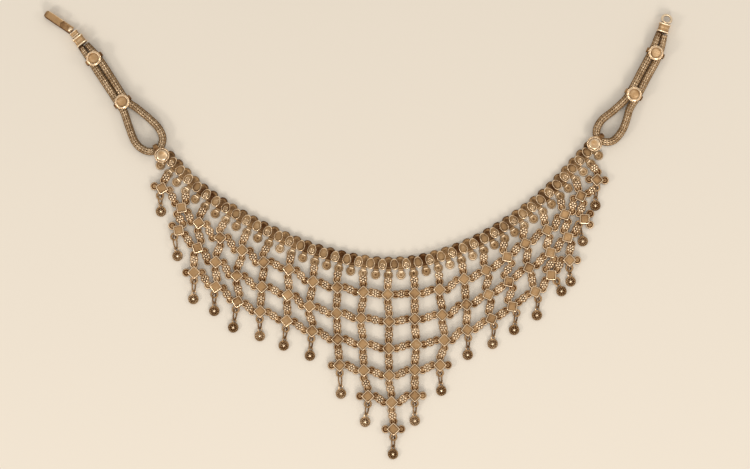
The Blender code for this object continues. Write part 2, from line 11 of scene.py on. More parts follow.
import bpy
import numpy as np
from bpy.props import FloatProperty, FloatVectorProperty, IntProperty, PointerProperty
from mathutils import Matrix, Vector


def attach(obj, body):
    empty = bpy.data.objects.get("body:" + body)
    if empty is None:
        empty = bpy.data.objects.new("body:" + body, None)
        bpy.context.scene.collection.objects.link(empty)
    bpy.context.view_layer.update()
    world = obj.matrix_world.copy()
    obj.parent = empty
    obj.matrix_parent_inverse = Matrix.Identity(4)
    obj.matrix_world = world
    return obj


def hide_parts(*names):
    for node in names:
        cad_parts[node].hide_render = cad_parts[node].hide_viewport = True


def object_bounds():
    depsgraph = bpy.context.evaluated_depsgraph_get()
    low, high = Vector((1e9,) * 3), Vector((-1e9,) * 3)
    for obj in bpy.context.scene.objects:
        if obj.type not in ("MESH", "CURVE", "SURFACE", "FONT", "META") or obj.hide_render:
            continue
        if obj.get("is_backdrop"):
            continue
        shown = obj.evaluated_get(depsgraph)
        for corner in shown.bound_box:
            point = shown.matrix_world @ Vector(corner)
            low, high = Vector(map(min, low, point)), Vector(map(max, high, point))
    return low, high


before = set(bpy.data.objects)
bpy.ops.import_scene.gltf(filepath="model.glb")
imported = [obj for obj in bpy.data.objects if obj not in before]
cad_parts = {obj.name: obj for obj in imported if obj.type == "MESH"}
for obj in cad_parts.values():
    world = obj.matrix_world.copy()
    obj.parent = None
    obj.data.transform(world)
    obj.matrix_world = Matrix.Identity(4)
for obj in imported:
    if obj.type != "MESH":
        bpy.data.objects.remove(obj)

bl_info = {
    "name": "Silver bib necklace",
    "version": (1, 0, 0),
    "blender": (4, 5, 0),
    "location": "View3D > Sidebar > Necklace",
    "description": "Builds the necklace's net, collar, drops, straps and clasp, and their stage",
    "category": "Object",
}

MM = 0.001
BODY = "root"
NET_SEED, COLLAR_SEED, DROP_SEED = 7, 11, 13

# Collar: caps on base loops, one for each link
LINKS = 42
COLLAR_ROUTE = [
    (-105.2, 51.5), (-93.8, 40.0), (-79.2, 29.3), (-59.1, 18.0), (-37.1, 8.7), (-14.6, 2.9),
    (3.0, 1.4), (20.7, 3.8), (42.3, 11.6), (62.0, 23.2), (79.6, 37.2), (97.6, 56.2)]
COLLAR_STEP = 0.1
SPAN_PLACES = 40  # between two points of a route
AHEAD = 5  # steps that give a heading
GATHER = 2.9
GATHER_BIAS = 1.6
LOOP_FOOT = 5.4
CAP_OUTLINE = {"half_x": 2.15, "half_y": 2.65, "power": 2.2, "egg": 0.07, "dent": 0.10}
DENT_ANGLE = 0.6  # radians
DENT_WIDTH = 0.35
CAP_DROP = 0.1
CAP_WORK_DROP = 0.65  # of the ring and granules on a cap
HOOP_OUTLINE = {"half_x": 2.45, "half_y": 3.05, "power": 2.4}
HOOP_RISE = 0.62
NECK = {"length": 2.4, "half_width": 1.5, "low": 0.1, "high": 1.0}
NECK_DROP = 3.0
POST_INSET = 3.5

# Net: plaques with four lobes each, and rosettes between the lobes
PLAQUE_SIDE = 4.4
PLAQUE_RIM = 0.12  # past the plaque's side
PLAQUE_SQUARE = 16.0
LOBE_REACH = 3.82
LOBE_RADIUS = 1.95
PLATE_MIDDLE = 1.7
ROSETTE_RADIUS = 1.95
ROSETTE_GRIP = 1.0
ROSETTE_TURN = 0.4  # radians
ROSETTE_RISE = (-0.05, 0.25)
TOP_ROSETTE = 0.52

# Granules: latitudes of their circles, wear of each, and rings of granules. The settings
# give a rosette's count and size, and the wire of the ring under it.
BEAD_LATITUDES = (-65, -10, 35, 72)
BEAD_WEAR = (0.1, 0.4, 0.95, 1.0)
BeadRing = namedtuple("BeadRing", "count radius size height polish")
ROSETTE_BEADS = BeadRing(6, 1.24, 0.54, 2.2, 0.82)
ROSETTE_MIDDLE = BeadRing(1, 0.0, 0.54, 2.35, 0.82)
CAP_BEADS = BeadRing(6, 0.62, 0.27, 2.57, 0.6)
CAP_MIDDLE = BeadRing(1, 0.0, 0.3, 2.58, 0.7)
DROP_BEADS = [BeadRing(13, 1.82, 0.34, 1.14, 0.44), BeadRing(6, 0.95, 0.34, 1.16, 0.44)]
DROP_MIDDLE = BeadRing(1, 0.0, 0.62, 1.05, 1.0)
TRAY_BEADS = BeadRing(30, 3.38, 0.27, 5.32, 1.0)
BUTTON_BEADS = BeadRing(30, 3.22, 0.29, 5.36, 1.0)

# Rings of wire
WireRing = namedtuple("WireRing", "half_x half_y wire height polish")
JOIN_RING = WireRing(ROSETTE_RADIUS, 1.25, 0.36, PLATE_MIDDLE, 0.6)
CAP_RING = WireRing(1.05, 1.05, 0.14, 2.6, 0.75)
DROP_LOOP = WireRing(1.05, 0.9, 0.32, 0.66, 0.6)
WIRE_SIDES = 6
WIRE_WEAR = (0.45, 0.75)

# Drops: a disc with a loop at its edge, and a link
DISC_RADIUS = 2.57
DROP_LOOP_OUT = 0.75
LINK_START = 1.05  # from the disc's edge, and the end beyond the lobe's middle
LINK_END = 0.55
LINK_HALF_WIDTH = 0.75
LINK_HEIGHT = 1.45
LINK_SLANT = 0.95
LINK_WIRE = 0.38
LINK_POLISH = 0.16

# Strands: lengths in millimetres, leans and turns in degrees
Strand = namedtuple("Strand", "hang pitch drop leans turns")
STRANDS = [Strand(*row) for row in (
    (7.8, 11.4, 11.4, (-23, -3), (-15,)),
    (8.4, 11.1, 12.6, (-13, -7, -3), (-35, -35)),
    (8.5, 12.2, 13.0, (-20, -3, -8, -2), (-9, -27, 0)),
    (8.9, 12.1, 11.9, (-17, -10, 0, -4), (2, -4, -11)),
    (9.0, 12.7, 12.9, (-14, -12, 2, -10), (-3, -3, -14)),
    (9.4, 12.1, 12.1, (-15, -4, -4, -1), (4, -3, -3)),
    (7.8, 12.6, 12.3, (-8, -2, -3, -7), (-8, -8, -7)),
    (9.6, 12.2, 12.2, (-5, -8, 6, -5), (-5, -5, -5)),
    (9.3, 12.7, 14.0, (-4, -1, 2, 4, 3), (2, 2, 2, 2)),
    (9.2, 12.8, 12.7, (1, -5, 4, 2, 9, -6), (0, 0, 0, 0, 0)),
    (9.4, 13.2, 12.3, (-2, 3, -1, 1, 5, 4, -1), (0, 0, 0, 0, 0, 0)),
    (9.7, 12.5, 12.4, (3, 0, 3, -3, 0, 0), (0, 0, 0, 0, 0)),
    (10.5, 12.4, 12.6, (3, 6, 5, -10, 3), (0, 0, 0, 0)),
    (9.2, 12.5, 12.2, (8, 5, 2, 1), (7, 7, 7)),
    (9.7, 11.9, 12.4, (7, 5, 7, 3), (20, 20, 20)),
    (8.9, 12.2, 11.6, (8, 3, 8, 5), (34, 34, 34)),
    (8.7, 12.0, 11.7, (4, 8, 15, 4), (20, 20, 20)),
    (9.2, 11.1, 9.4, (13, 8, 2, 33), (18, 30, 42)),
    (9.2, 11.2, 10.5, (14, 7, 4, 4), (23, 30, 0)),
    (8.2, 11.4, 10.9, (16, 9, -4), (20, 43)),
    (8.4, 12.6, 12.6, (20, -3), (-4,)))]

# Straps: one woven chain laid double, its fold through the end button's bail
CHAIN_RADIUS = 1.8
CHAIN_HEIGHT = 2.6
CHAIN_STEP = 0.25
CHAIN_APART = 3.9
CHAIN_PLACES = 7  # places to a stitch
CHAIN_LEAN = 0.85  # in stitches
CHAIN_SPREAD = 0.66  # share of a column
CHAIN_SWELL = 0.1
CHAIN_OUT = 0.02
CHAIN_POLISH = 0.15
CHAIN_CREST = 0.56  # further polish on a stitch's crest
# Power of the painted shade that darkens the chain from its top towards its sides
CHAIN_SIDE_SHADE = 0.6
HEART_THINNER = 0.3
HEART_POLISH = 0.06
HEART_EVERY = 6
PINCH = 0.74
PINCH_LENGTH = 14.0
Strap = namedtuple("Strap", "side ferrule slides fold bail button")
STRAPS = [
    Strap("left", (-150.3, 110.7), ((-143.3, 101.8), (-129.4, 80.7)),
          [(-128.7, 75.9), (-126.3, 68.8), (-123.8, 62.2), (-120.9, 58.5), (-116.7, 56.5),
           (-112.4, 57.3), (-110.2, 60.2), (-110.0, 64.2), (-112.5, 68.8), (-117.6, 73.7),
           (-122.7, 77.8)], 5, (-110.0, 54.6)),
    Strap("right", (135.2, 116.8), ((131.1, 104.5), (120.5, 84.3)),
          [(116.0, 81.4), (110.2, 76.1), (104.9, 71.8), (102.4, 67.0), (103.4, 62.9),
           (107.2, 61.1), (111.2, 62.3), (115.0, 67.0), (117.1, 72.4), (118.7, 77.7)],
          4, (101.1, 60.1))]
SLEEVE_WALL = 0.5
SLEEVE_GAP = 0.35
SLEEVE_LENGTH = 2.2
SLEEVE_SQUARE = 6.0
SLEEVE_POLISH = 0.12
BAIL_PLAY = 0.3

# Clasp
FERRULE_WIDTH = 5.6
FERRULE_LENGTH = 4.6
FERRULE_SQUARE = 5.0
FERRULE_LOW = 0.02
FERRULE_HIGH = 5.0
FERRULE_GAP = 0.3
COLLET_LENGTH = 2.6
COLLET_WIDTH = 4.2
COLLET_GROOVE = 0.5
COLLET_NECK = 3.2
COLLET_BITE = 0.6
COLLET_INSET = 0.4
COLLET_LOW = 0.2
COLLET_DROP = 0.6
HOOK_SWING = 18
HOOK_CLEAR = 0.5
HOOK_LENGTH = 16.4
HOOK_WIDTH = 3.9
HOOK_SHEET = 0.9
HOOK_THROAT = 1.3
HOOK_MOUTH = 9.3
HOOK_BALL = 1.3
HOOK_LOW = 0.6
HOOK_START = 0.6
HOOK_NOTCH = 1.1
HOOK_LIP = 0.4
HOOK_SQUARE = 5.0
HOOK_POLISH = 0.22  # of the lower leaf
HOOK_LOWER_LEAF_SHADE = 0.10  # added to the upper leaf, so the lower leaf under it shows painted shade
HOOK_TIP_SHADE = 0.3  # taken off the rounded tip as painted shade
# Painted highlight along one long edge of the hook, and painted shade along the other where the
# fold opens
HOOK_EDGE_HIGHLIGHT = 2.5
HOOK_EDGE_SHADE = 2.0
TIP_ROUND = 0.4  # from the rounded tip to the solid's square one
RING_RADIUS = 2.35
RING_WIRE = 0.55
RING_TILT = 25
RING_EASE = 0.12  # inside the solid's twelve sides
RING_POLISH = 0.9

# Photograph's frame on the floor, and the stage in metres
VIEW_WIDTH = 367.5
VIEW_CENTRE = (-5.98, 15.9)
SENSOR = 36.0
FLOOR_REACH = 3.0
FLOOR_HEIGHT = -2e-5
CARD_SHADE = 0.985
CARD_ROUGHNESS = 0.9
CARD_SHEEN = 0.1
SKY_COLOUR = (1.0, 0.97, 0.92, 1.0)
LAMP_COLOUR = (1.0, 0.93, 0.84)

# Metal: ranges of the level of shine and painted shading where its colours change, and each
# metal's share of lightness
METALLIC = 0.78
EDGE_COLOUR = (1.0, 0.76, 0.50, 1.0)
RELIEF = 0.00003
RELIEF_STRENGTH = 0.35
CLOUD_RELIEF = 1.5
NOISE_RANGE = (0.3, 0.7)
CLOUD_SHARE = 0.22
TONE_SHARE = 0.16
PIT_SHARE = 0.10
PATINA_POLISH = (-0.05, 0.30)
WORN_AND_HIGHLIGHT_POLISH = (0.34, 0.95)
ROUGHNESS = (0.55, 0.26)
GROUP_INPUTS = {"Vector": "Vector", "Polish": "Float", "Tone": "Float", "Recess_and_shade": "Color",
                "Patina": "Color", "Worn_and_highlight": "Color", "Cloud Scale": "Float", "Pit Scale": "Float"}
GROUP_OUTPUTS = {"Color": "Color", "Roughness": "Float", "Height": "Float"}
SHADES = {"net_silver": 1.0, "collar_silver": 0.78, "collar_loop_silver": 0.8,
          "drop_silver": 0.86, "chain_silver_left": 0.70, "chain_silver_right": 0.84,
          "mount_silver": 1.05, "clasp_silver": 1.0}

# Profiles turned on an outline: reach in millimetres or shares of the outline, height, and level
# of shine and painted shading
Profile = namedtuple("Profile", "reach height polish")


def profile(*rows):
    """Profile of rows of reach, height and polish."""
    return [Profile(*row) for row in rows]


# The plaque's wide foot below the rim, at the darkest level, paints a band of shade round each
# plaque where it stands on the net.
PLAQUE_PROFILE = profile(
    (0.3, 1.36, 0), (1.02, 1.36, 0), (1.12, 1.48, 0), (1.13, 1.8, 0), (1.05, 1.94, 0),
    (1.04, 2.35, 0.2), (1.03, 2.7, 0.7), (0.98, 2.88, 1), (0.89, 3.05, 1), (0.86, 3.07, 0.7),
    (0.82, 2.96, 0.1), (0.8, 2.78, 0), (0.74, 2.72, 0.2), (0.45, 2.72, 0.3), (0.1, 2.72, 0.32))
LOBE_PROFILE = profile(
    (0.2, 1.42, 0), (1.3, 1.32, 0), (1.85, 1.38, 0), (2.02, 1.62, 0), (2, 1.9, 0),
    (1.82, 2.1, 0.6), (1.58, 2.08, 0.54), (1.42, 1.86, -0.12), (1.1, 1.76, -0.05),
    (0.7, 1.82, 0.32), (0.45, 1.78, 0.28), (0.2, 1.66, 0.1))
EYE_PROFILE = profile(
    (1.08, 1.55, 0), (1.35, 1.33, 0), (1.76, 1.34, 0), (2, 1.56, 0.1), (2, 1.84, 0.25),
    (1.76, 2.08, 0.42), (1.35, 2.09, 0.36), (1.08, 1.85, 0.05))
ROSETTE_PROFILE = profile(
    (0.3, 1.4, 0), (1.4, 1.4, 0), (1.9, 1.5, 0.1), (2.08, 1.78, 0), (2.05, 2.08, 0.15),
    (1.88, 2.24, 0.56), (1.68, 2.18, 0.4), (1.52, 1.98, 0.04), (0.9, 1.96, 0.05),
    (0.2, 1.96, 0.05))
CAP_PROFILE = profile(
    (0.3, 0.6, 0), (0.86, 0.6, 0), (0.97, 0.9, 0.05), (1.02, 1.6, 0.1), (1.03, 2.2, 0.5),
    (1, 2.55, 0.95), (0.95, 2.82, 1), (0.9, 2.95, 0.9), (0.86, 2.97, 0.6), (0.82, 2.86, 0.2),
    (0.8, 2.6, 0.05), (0.75, 2.52, 0.2), (0.4, 2.52, 0.34), (0.1, 2.52, 0.34))
# The collar loops stay near the darkest level: oxide in the hollows under the caps, and painted
# shade that falls there.
HOOP_PROFILE = profile(
    (0.3, 0.02, 0), (0.85, 0.02, 0), (0.97, 0.25, 0), (1, 0.85, 0), (0.98, 1.3, 0.02),
    (0.9, 1.62, 0.14), (0.78, 1.66, 0.18), (0.68, 1.52, 0.22), (0.55, 1.35, 0.12),
    (0.15, 1.3, 0.08))
FOOT_PROFILE = profile(
    (0.2, 0.1, 0), (1.5, 0.02, 0), (2.12, 0.08, 0), (2.32, 0.45, 0.1), (2.28, 0.9, 0.4),
    (2.04, 1.16, 0.66), (1.76, 1.1, 0.5), (1.58, 0.8, 0.26), (1.2, 0.72, 0.42), (0.85, 0.82, 0.48),
    (0.55, 0.72, 0.3), (0.2, 0.55, 0.12))
DISC_PROFILE = profile(
    (0.3, 0.02, 0), (2.1, 0.02, 0), (2.45, 0.14, 0), (2.55, 0.6, 0), (2.53, 1.1, 0.05),
    (2.38, 1.36, 0.36), (2.16, 1.26, 0.3), (2.04, 1, 0), (1.2, 0.96, 0), (0.25, 0.96, 0))
TRAY_PROFILE = profile(
    (0.4, 4.82, 0), (3.1, 4.82, 0), (3.5, 4.9, 0.1), (3.62, 5.08, 0.6), (3.6, 5.25, 0.8),
    (3.3, 5.34, 0.5), (3.2, 5.6, 0.8), (3.1, 5.88, 1), (2.92, 5.99, 1), (2.72, 5.92, 0.9),
    (2.6, 5.7, 0.2), (2.42, 5.64, 0.1), (2.32, 5.7, 0.5), (2.2, 5.68, 0.4), (2.12, 5.56, 0.1),
    (1.9, 5.53, 0.4), (0.25, 5.53, 0.42))
BUTTON_PROFILE = profile(
    (0.4, 4.86, 0), (3.2, 4.86, 0), (3.6, 4.95, 0.2), (3.7, 5.14, 0.6), (3.62, 5.3, 0.6),
    (3.3, 5.3, 0.1), (2.9, 5.28, 0), (2.78, 5.4, 0.3), (2.6, 5.62, 0.75), (2.2, 5.8, 0.7),
    (1.6, 5.92, 0.5), (0.9, 5.98, 0.44), (0.2, 6, 0.44))
POST_PROFILE = profile(
    (0.2, 0.02, 0.1), (0.5, 0.02, 0.2), (0.6, 0.12, 0.4), (0.6, 4.95, 0.3), (0.2, 5, 0.3))

# Ferrule stations along the strap: place, share of its half width and height, polish
Station = namedtuple("Station", "place share polish")
FERRULE_HALF = [Station(*row) for row in (
    (1, 0.6, 0), (1, 0.86, 0.3), (0.95, 0.97, 0.9), (0.82, 1, 1), (0.68, 0.98, 0.8),
    (0.6, 0.9, 0.2))]
FERRULE_STATIONS = [*(Station(-end.place, end.share, end.polish) for end in FERRULE_HALF),
                    Station(0, 0.89, 0.46), *FERRULE_HALF[::-1]]


# Settings

class SilverSettings(bpy.types.PropertyGroup):
    """Colours and finish of the aged silver."""

    # Besides oxide in the recesses, this colour paints shade on the chain's sides, the hook's dark
    # edge and tip, the plaques' skirts and the collar loops.
    recess_and_shade_colour: FloatVectorProperty(
        name="Recess_and_shade", description="Colour of the oxide in the recesses", subtype="COLOR",
        size=3, default=(0.092, 0.030, 0.006), min=0, max=1)
    patina_colour: FloatVectorProperty(
        name="Patina", description="Colour of the tarnished faces", subtype="COLOR",
        size=3, default=(0.415, 0.256, 0.124), min=0, max=1)
    # Besides silver rubbed bright, this colour shows the painted highlight along one edge of the
    # hook.
    worn_and_highlight_colour: FloatVectorProperty(
        name="Worn_and_highlight", description="Colour of the silver rubbed bright", subtype="COLOR",
        size=3, default=(1.000, 0.797, 0.555), min=0, max=1)
    patina_size: FloatProperty(
        name="Patina size", description="Width of the patina's clouds", unit="LENGTH",
        default=0.0035, min=0.0005)
    pit_size: FloatProperty(
        name="Pit size", description="Width of the fine pits in the metal", unit="LENGTH",
        default=0.00035, min=0.00005)


class NetSettings(bpy.types.PropertyGroup):
    """Sizes of the net's small work."""

    granule_radius: FloatProperty(
        name="Granule", description="Radius of a rosette's granules", unit="LENGTH",
        default=0.00054, min=0.0002)
    granules: IntProperty(
        name="Granules", description="Granules round a rosette's middle one", default=6, min=4)
    link_wire: FloatProperty(
        name="Link wire", description="Radius of the links' wire", unit="LENGTH",
        default=0.00036, min=0.0001)
    tilt: FloatProperty(
        name="Tilt", description="Greatest tilt of a plaque out of level", unit="ROTATION",
        default=math.radians(3.5), min=0)


class ChainSettings(bpy.types.PropertyGroup):
    """Weave of the straps' chain."""

    columns: IntProperty(
        name="Columns", description="Columns of stitches round the chain", default=9, min=3)
    stitch: FloatProperty(
        name="Stitch", description="Length of one stitch", unit="LENGTH", default=0.0015,
        min=0.0005)
    wire: FloatProperty(
        name="Wire", description="Radius of the chain's wire", unit="LENGTH",
        default=0.00024, min=0.0001)


class StageSettings(bpy.types.PropertyGroup):
    """Floor, lamps and camera."""

    floor_colour: FloatVectorProperty(
        name="Floor", description="Colour of the floor", subtype="COLOR", size=3,
        default=(0.79, 0.73, 0.645), min=0, max=1)
    camera_height: FloatProperty(
        name="Camera height", description="Height of the camera above the floor",
        unit="LENGTH", default=1.2, min=0.3)
    lamp_power: FloatProperty(
        name="Lamp power", description="Power that the lamps share out, in watts",
        default=2.4, min=0)
    sky: FloatProperty(
        name="Sky", description="Strength of the even light from all round", default=0.59,
        min=0)


class NecklaceSettings(bpy.types.PropertyGroup):
    """All settings of the necklace."""

    silver: PointerProperty(type=SilverSettings)
    net: PointerProperty(type=NetSettings)
    chain: PointerProperty(type=ChainSettings)
    stage: PointerProperty(type=StageSettings)


# Forms: points, lists of faces with the same number of corners, level of shine and painted
# shading, and tone of each point

Form = namedtuple("Form", "points faces polish tone")


def grid_faces(rows, columns, closed=False):
    """Quads of a grid: each point with its neighbours one column and one row on.

    Columns run round and close on themselves; rows do so where closed.
    """
    row = np.arange(rows if closed else rows - 1)[:, None]
    column = np.arange(columns)[None, :]
    next_row = (row + 1) % rows
    next_column = (column + 1) % columns
    corners = [row * columns + column, row * columns + next_column,
               next_row * columns + next_column, next_row * columns + column]
    return np.stack(np.broadcast_arrays(*corners), axis=-1).reshape(-1, 4)


def skin(points, polish, closed):
    """Surface over a grid of points whose two end rows are closed by flat faces unless closed."""
    rows, columns = points.shape[:2]
    faces = [grid_faces(rows, columns, closed)]
    if not closed:
        ring = np.arange(columns)
        faces.append(np.stack([ring[::-1], ring + (rows - 1) * columns]))
    flat_polish_and_shading = np.broadcast_to(polish, (rows, columns)).reshape(-1)
    return Form(points.reshape(-1, 3), faces, flat_polish_and_shading, np.full(rows * columns, 0.5))


def outline(sides, half_x=1.0, half_y=1.0, power=2.0, egg=0.0, dent=0.0):
    """Flat outline: angle runs once round; reach is (|cos|^p + |sin|^p)^(-1/p), times both halves.

    egg narrows the upper end by that share; dent draws in the upper right flank.
    """
    angle = 2 * math.pi * np.arange(sides) / sides
    cos, sin = np.cos(angle), np.sin(angle)
    reach = (np.abs(cos) ** power + np.abs(sin) ** power) ** (-1 / power)
    reach = reach * (1 - dent * np.exp(-((angle - DENT_ANGLE) / DENT_WIDTH) ** 2))
    return np.stack([half_x * reach * cos * (1 - egg * reach * sin), half_y * reach * sin], axis=1)


def turned(rows, around, closed=False):
    """Profile carried round an outline: each point is the outline times the profile's reach."""
    steps = np.array(rows)
    points = np.empty((len(steps), len(around), 3))
    points[:, :, :2] = steps[:, 0, None, None] * around[None]
    points[:, :, 2] = steps[:, 1, None]
    return skin(points, steps[:, 2, None], closed)


def swept(paths, across, section, closed, polish):
    """Section carried along paths: path + u * second + v * third.

    second is the across vector made square to the path's tangent, third their cross product,
    and (u, v) the section's points, given once or for each place.
    """
    if closed:
        ahead = np.roll(paths, -1, axis=1) - np.roll(paths, 1, axis=1)
    else:
        ahead = np.gradient(paths, axis=1)
    ahead = ahead / np.linalg.norm(ahead, axis=-1, keepdims=True)
    across = np.broadcast_to(across, paths.shape)
    second = across - np.sum(across * ahead, axis=-1, keepdims=True) * ahead
    second = second / np.linalg.norm(second, axis=-1, keepdims=True)
    third = np.cross(ahead, second)
    section = np.broadcast_to(section, (*paths.shape[:2], *section.shape[-2:]))
    points = (paths[:, :, None] + section[..., 0, None] * second[:, :, None]
              + section[..., 1, None] * third[:, :, None])
    shades = np.broadcast_to(np.asarray(polish, dtype=float), points.shape[:3])
    return joined(*[skin(points[i], shades[i], closed) for i in range(len(points))])


def wire_ring(ring, steps, sides=WIRE_SIDES):
    """Ring of round wire lying flat: an ellipse with the wire's circle carried round it."""
    path = np.zeros((1, steps, 3))
    path[0, :, :2] = outline(steps) * (ring.half_x, ring.half_y)
    path[0, :, 2] = ring.height
    around = outline(sides)
    wear_and_shading = ring.polish * np.clip(WIRE_WEAR[0] + WIRE_WEAR[1] * around[:, 0], 0, 1)
    return swept(path, (0, 0, 1), ring.wire * around, True, wear_and_shading)


def granule(radius, sides, wear_and_shading):
    """Small sphere: circles at a few latitudes, brighter towards the top."""
    latitude = np.radians(BEAD_LATITUDES)
    rows = np.stack([radius * np.cos(latitude), radius * np.sin(latitude),
                     wear_and_shading * np.array(BEAD_WEAR)], axis=1)
    return turned(rows, outline(sides))


def bead_ring(ring, sides=7):
    """Granules evenly round a circle, or one at its middle where the radius is 0."""
    return placed(granule(ring.size, sides, ring.polish),
                  frames(ring.radius * outline(ring.count), 0.0, ring.height))


def lofted(length, half_width, low, high, sides=40):
    """Rounded bar along X: an outline with square shoulders, scaled at each ferrule station."""
    around = outline(sides, power=FERRULE_SQUARE)
    steps = np.array(FERRULE_STATIONS)
    middle, half_height = (low + high) / 2, (high - low) / 2
    points = np.empty((len(steps), sides, 3))
    points[:, :, 0] = steps[:, 0, None] * length / 2
    points[:, :, 1] = steps[:, 1, None] * half_width * around[None, :, 0]
    points[:, :, 2] = middle + steps[:, 1, None] * half_height * around[None, :, 1]
    return skin(points, steps[:, 2, None], False)


def frames(places, turns, heights=0.0, tilts=None):
    """Rows (3 by 4) that tilt and turn a form about Z and move it to each place."""
    places = np.asarray(places, dtype=float).reshape(-1, 2)
    turns = np.broadcast_to(np.asarray(turns, dtype=float), len(places))
    result = np.zeros((len(places), 3, 4))
    result[:, 0, 0] = result[:, 1, 1] = np.cos(turns)
    result[:, 1, 0] = np.sin(turns)
    result[:, 0, 1] = -np.sin(turns)
    result[:, 2, 2] = 1.0
    if tilts is not None:
        result[:, 2, 0], result[:, 2, 1] = tilts[:, 0], tilts[:, 1]
    result[:, :2, 3] = places
    result[:, 2, 3] = heights
    return result


def placed(form, rows, tones=None):
    """Copies of a form, one for each frame."""
    count, size = len(rows), len(form.points)
    points = np.einsum("fij,pj->fpi", rows[:, :, :3], form.points) + rows[:, None, :, 3]
    shift = (size * np.arange(count))[:, None, None]
    faces = [(part[None] + shift).reshape(-1, part.shape[1]) for part in form.faces]
    tones = np.full(count, 0.5) if tones is None else tones
    return Form(points.reshape(-1, 3), faces, np.tile(form.polish, count), np.repeat(tones, size))


def joined(*forms):
    """All forms as one."""
    starts = np.cumsum([0] + [len(form.points) for form in forms])
    faces = [part + start for form, start in zip(forms, starts) for part in form.faces]
    points, _faces, polish, tone = zip(*forms)
    return Form(np.concatenate(points), faces, np.concatenate(polish), np.concatenate(tone))


def moved(form, shift):
    """Form moved by a shift."""
    return form._replace(points=form.points + np.asarray(shift, dtype=float))


def make_piece(name, form, material, nodes, crease=38.0):
    """Mesh object of a form, riding on the body and standing for some CAD nodes.

    Faces that meet at more degrees than crease show an edge.
    """
    mesh = bpy.data.meshes.new(name)
    faces = [face for part in form.faces for face in part.tolist()]
    mesh.from_pydata((form.points * MM).tolist(), [], faces)
    for label, values in (("polish", form.polish), ("tone", form.tone)):
        layer = mesh.attributes.new(label, "FLOAT", "POINT")
        layer.data.foreach_set("value", np.asarray(values, dtype=np.float32))
    mesh.shade_smooth()
    mesh.set_sharp_from_angle(angle=math.radians(crease))
    mesh.materials.append(material)
    piece = bpy.data.objects.new(name, mesh)
    bpy.context.scene.collection.objects.link(piece)
    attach(piece, BODY)
    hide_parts(*nodes)


# Layout of the net and collar

def smooth_route(points, step):
    """Even places, about a step apart, on a Catmull-Rom curve through the points."""
    knots = np.array(points, dtype=float)
    knots = np.vstack([2 * knots[0] - knots[1], knots, 2 * knots[-1] - knots[-2]])
    a, b, c, d = (knots[i:len(knots) - 3 + i, None] for i in range(4))
    t = (np.arange(SPAN_PLACES) / SPAN_PLACES)[None, :, None]
    fine = 0.5 * (2 * b + (c - a) * t + (2 * a - 5 * b + 4 * c - d) * t ** 2
                  + (3 * b - a - 3 * c + d) * t ** 3)
    fine = np.vstack([fine.reshape(-1, 2), knots[-2]])
    lengths = np.append(0, np.cumsum(np.linalg.norm(np.diff(fine, axis=0), axis=1)))
    count = max(2, round(lengths[-1] / step))
    goals = np.linspace(0, lengths[-1], count + 1)
    return np.stack([np.interp(goals, lengths, fine[:, i]) for i in range(2)], axis=1)


def collar_frames(links):
    """Frames along the collar at places counted in links: X along it, Y up."""
    route = smooth_route(COLLAR_ROUTE, COLLAR_STEP)
    share = np.asarray(links, dtype=float) / (LINKS - 1)
    inside = (share > 0) & (share < 1)
    slide = np.where(inside, GATHER * np.sin(math.pi * np.clip(share, 0, 1) ** GATHER_BIAS), 0.0)
    along = COLLAR_STEP * (len(route) - 1) * share + slide
    index = np.clip(np.rint(along / COLLAR_STEP).astype(int), AHEAD, len(route) - AHEAD - 1)
    heading = route[index + AHEAD] - route[index - AHEAD]
    heading = heading / np.linalg.norm(heading, axis=1, keepdims=True)
    places = route[index] + heading * (along - index * COLLAR_STEP)[:, None]
    return frames(places, np.arctan2(heading[:, 1], heading[:, 0]))


def downward(lean):
    """Unit vector pointing down, leaning to the right by some degrees."""
    return np.array([math.sin(math.radians(lean)), -math.cos(math.radians(lean))])


Plaque = namedtuple("Plaque", "place turn")
Join = namedtuple("Join", "place turn stretch")
Drop = namedtuple("Drop", "place turn reach")


def lobes_of(plaque):
    """Centres of a plaque's four lobes: a quarter turn apart, LOBE_REACH from its centre."""
    angles = plaque.turn + np.arange(4) * math.pi / 2
    return plaque.place + LOBE_REACH * np.stack([np.cos(angles), np.sin(angles)], axis=1)


def nearest_lobe(plaque, goal):
    """Number and centre of the lobe nearest to a place."""
    lobes = lobes_of(plaque)
    number = int(np.argmin(np.linalg.norm(lobes - goal, axis=1)))
    return number, lobes[number]


def lay_net():
    """Plaques strand by strand, the rosettes' joins, the drops, and each last lobe's number."""
    rows = collar_frames(2 * np.arange(len(STRANDS)) + 0.5)
    eyes = rows[:, :2, 3] - LOOP_FOOT * rows[:, :2, 1]
    net, drops, last_lobes = [], [], []
    for strand, eye in zip(STRANDS, eyes):
        place = eye + downward(strand.leans[0]) * strand.hang
        plaques = []
        for turn, lean in zip(strand.turns, strand.leans[1:]):
            plaques.append(Plaque(place, math.radians(turn)))
            place = place + downward(lean) * strand.pitch
        disc = plaques[-1].place + downward(strand.leans[-1]) * strand.drop
        number, lobe = nearest_lobe(plaques[-1], disc)
        run = lobe - disc
        drops.append(Drop(disc, math.atan2(run[1], run[0]), float(np.linalg.norm(run))))
        last_lobes.append(number)
        net.append(plaques)
    joins = []
    for number, plaques in enumerate(net):
        pairs = list(zip(plaques, plaques[1:]))
        if number + 1 < len(net):
            pairs += list(zip(plaques, net[number + 1]))
        for first, second in pairs:
            start = nearest_lobe(first, second.place)[1]
            end = nearest_lobe(second, first.place)[1]
            run = end - start
            reach = float(np.linalg.norm(run)) / 2 - LOBE_RADIUS + ROSETTE_GRIP
            joins.append(Join((start + end) / 2, math.atan2(run[1], run[0]),
                              max(ROSETTE_RADIUS, reach) / ROSETTE_RADIUS))
        run = nearest_lobe(plaques[0], eyes[number])[1] - eyes[number]
        joins.append(Join(eyes[number] + run * TOP_ROSETTE, math.atan2(run[1], run[0]), 1.0))
    return net, joins, drops, last_lobes


# Materials

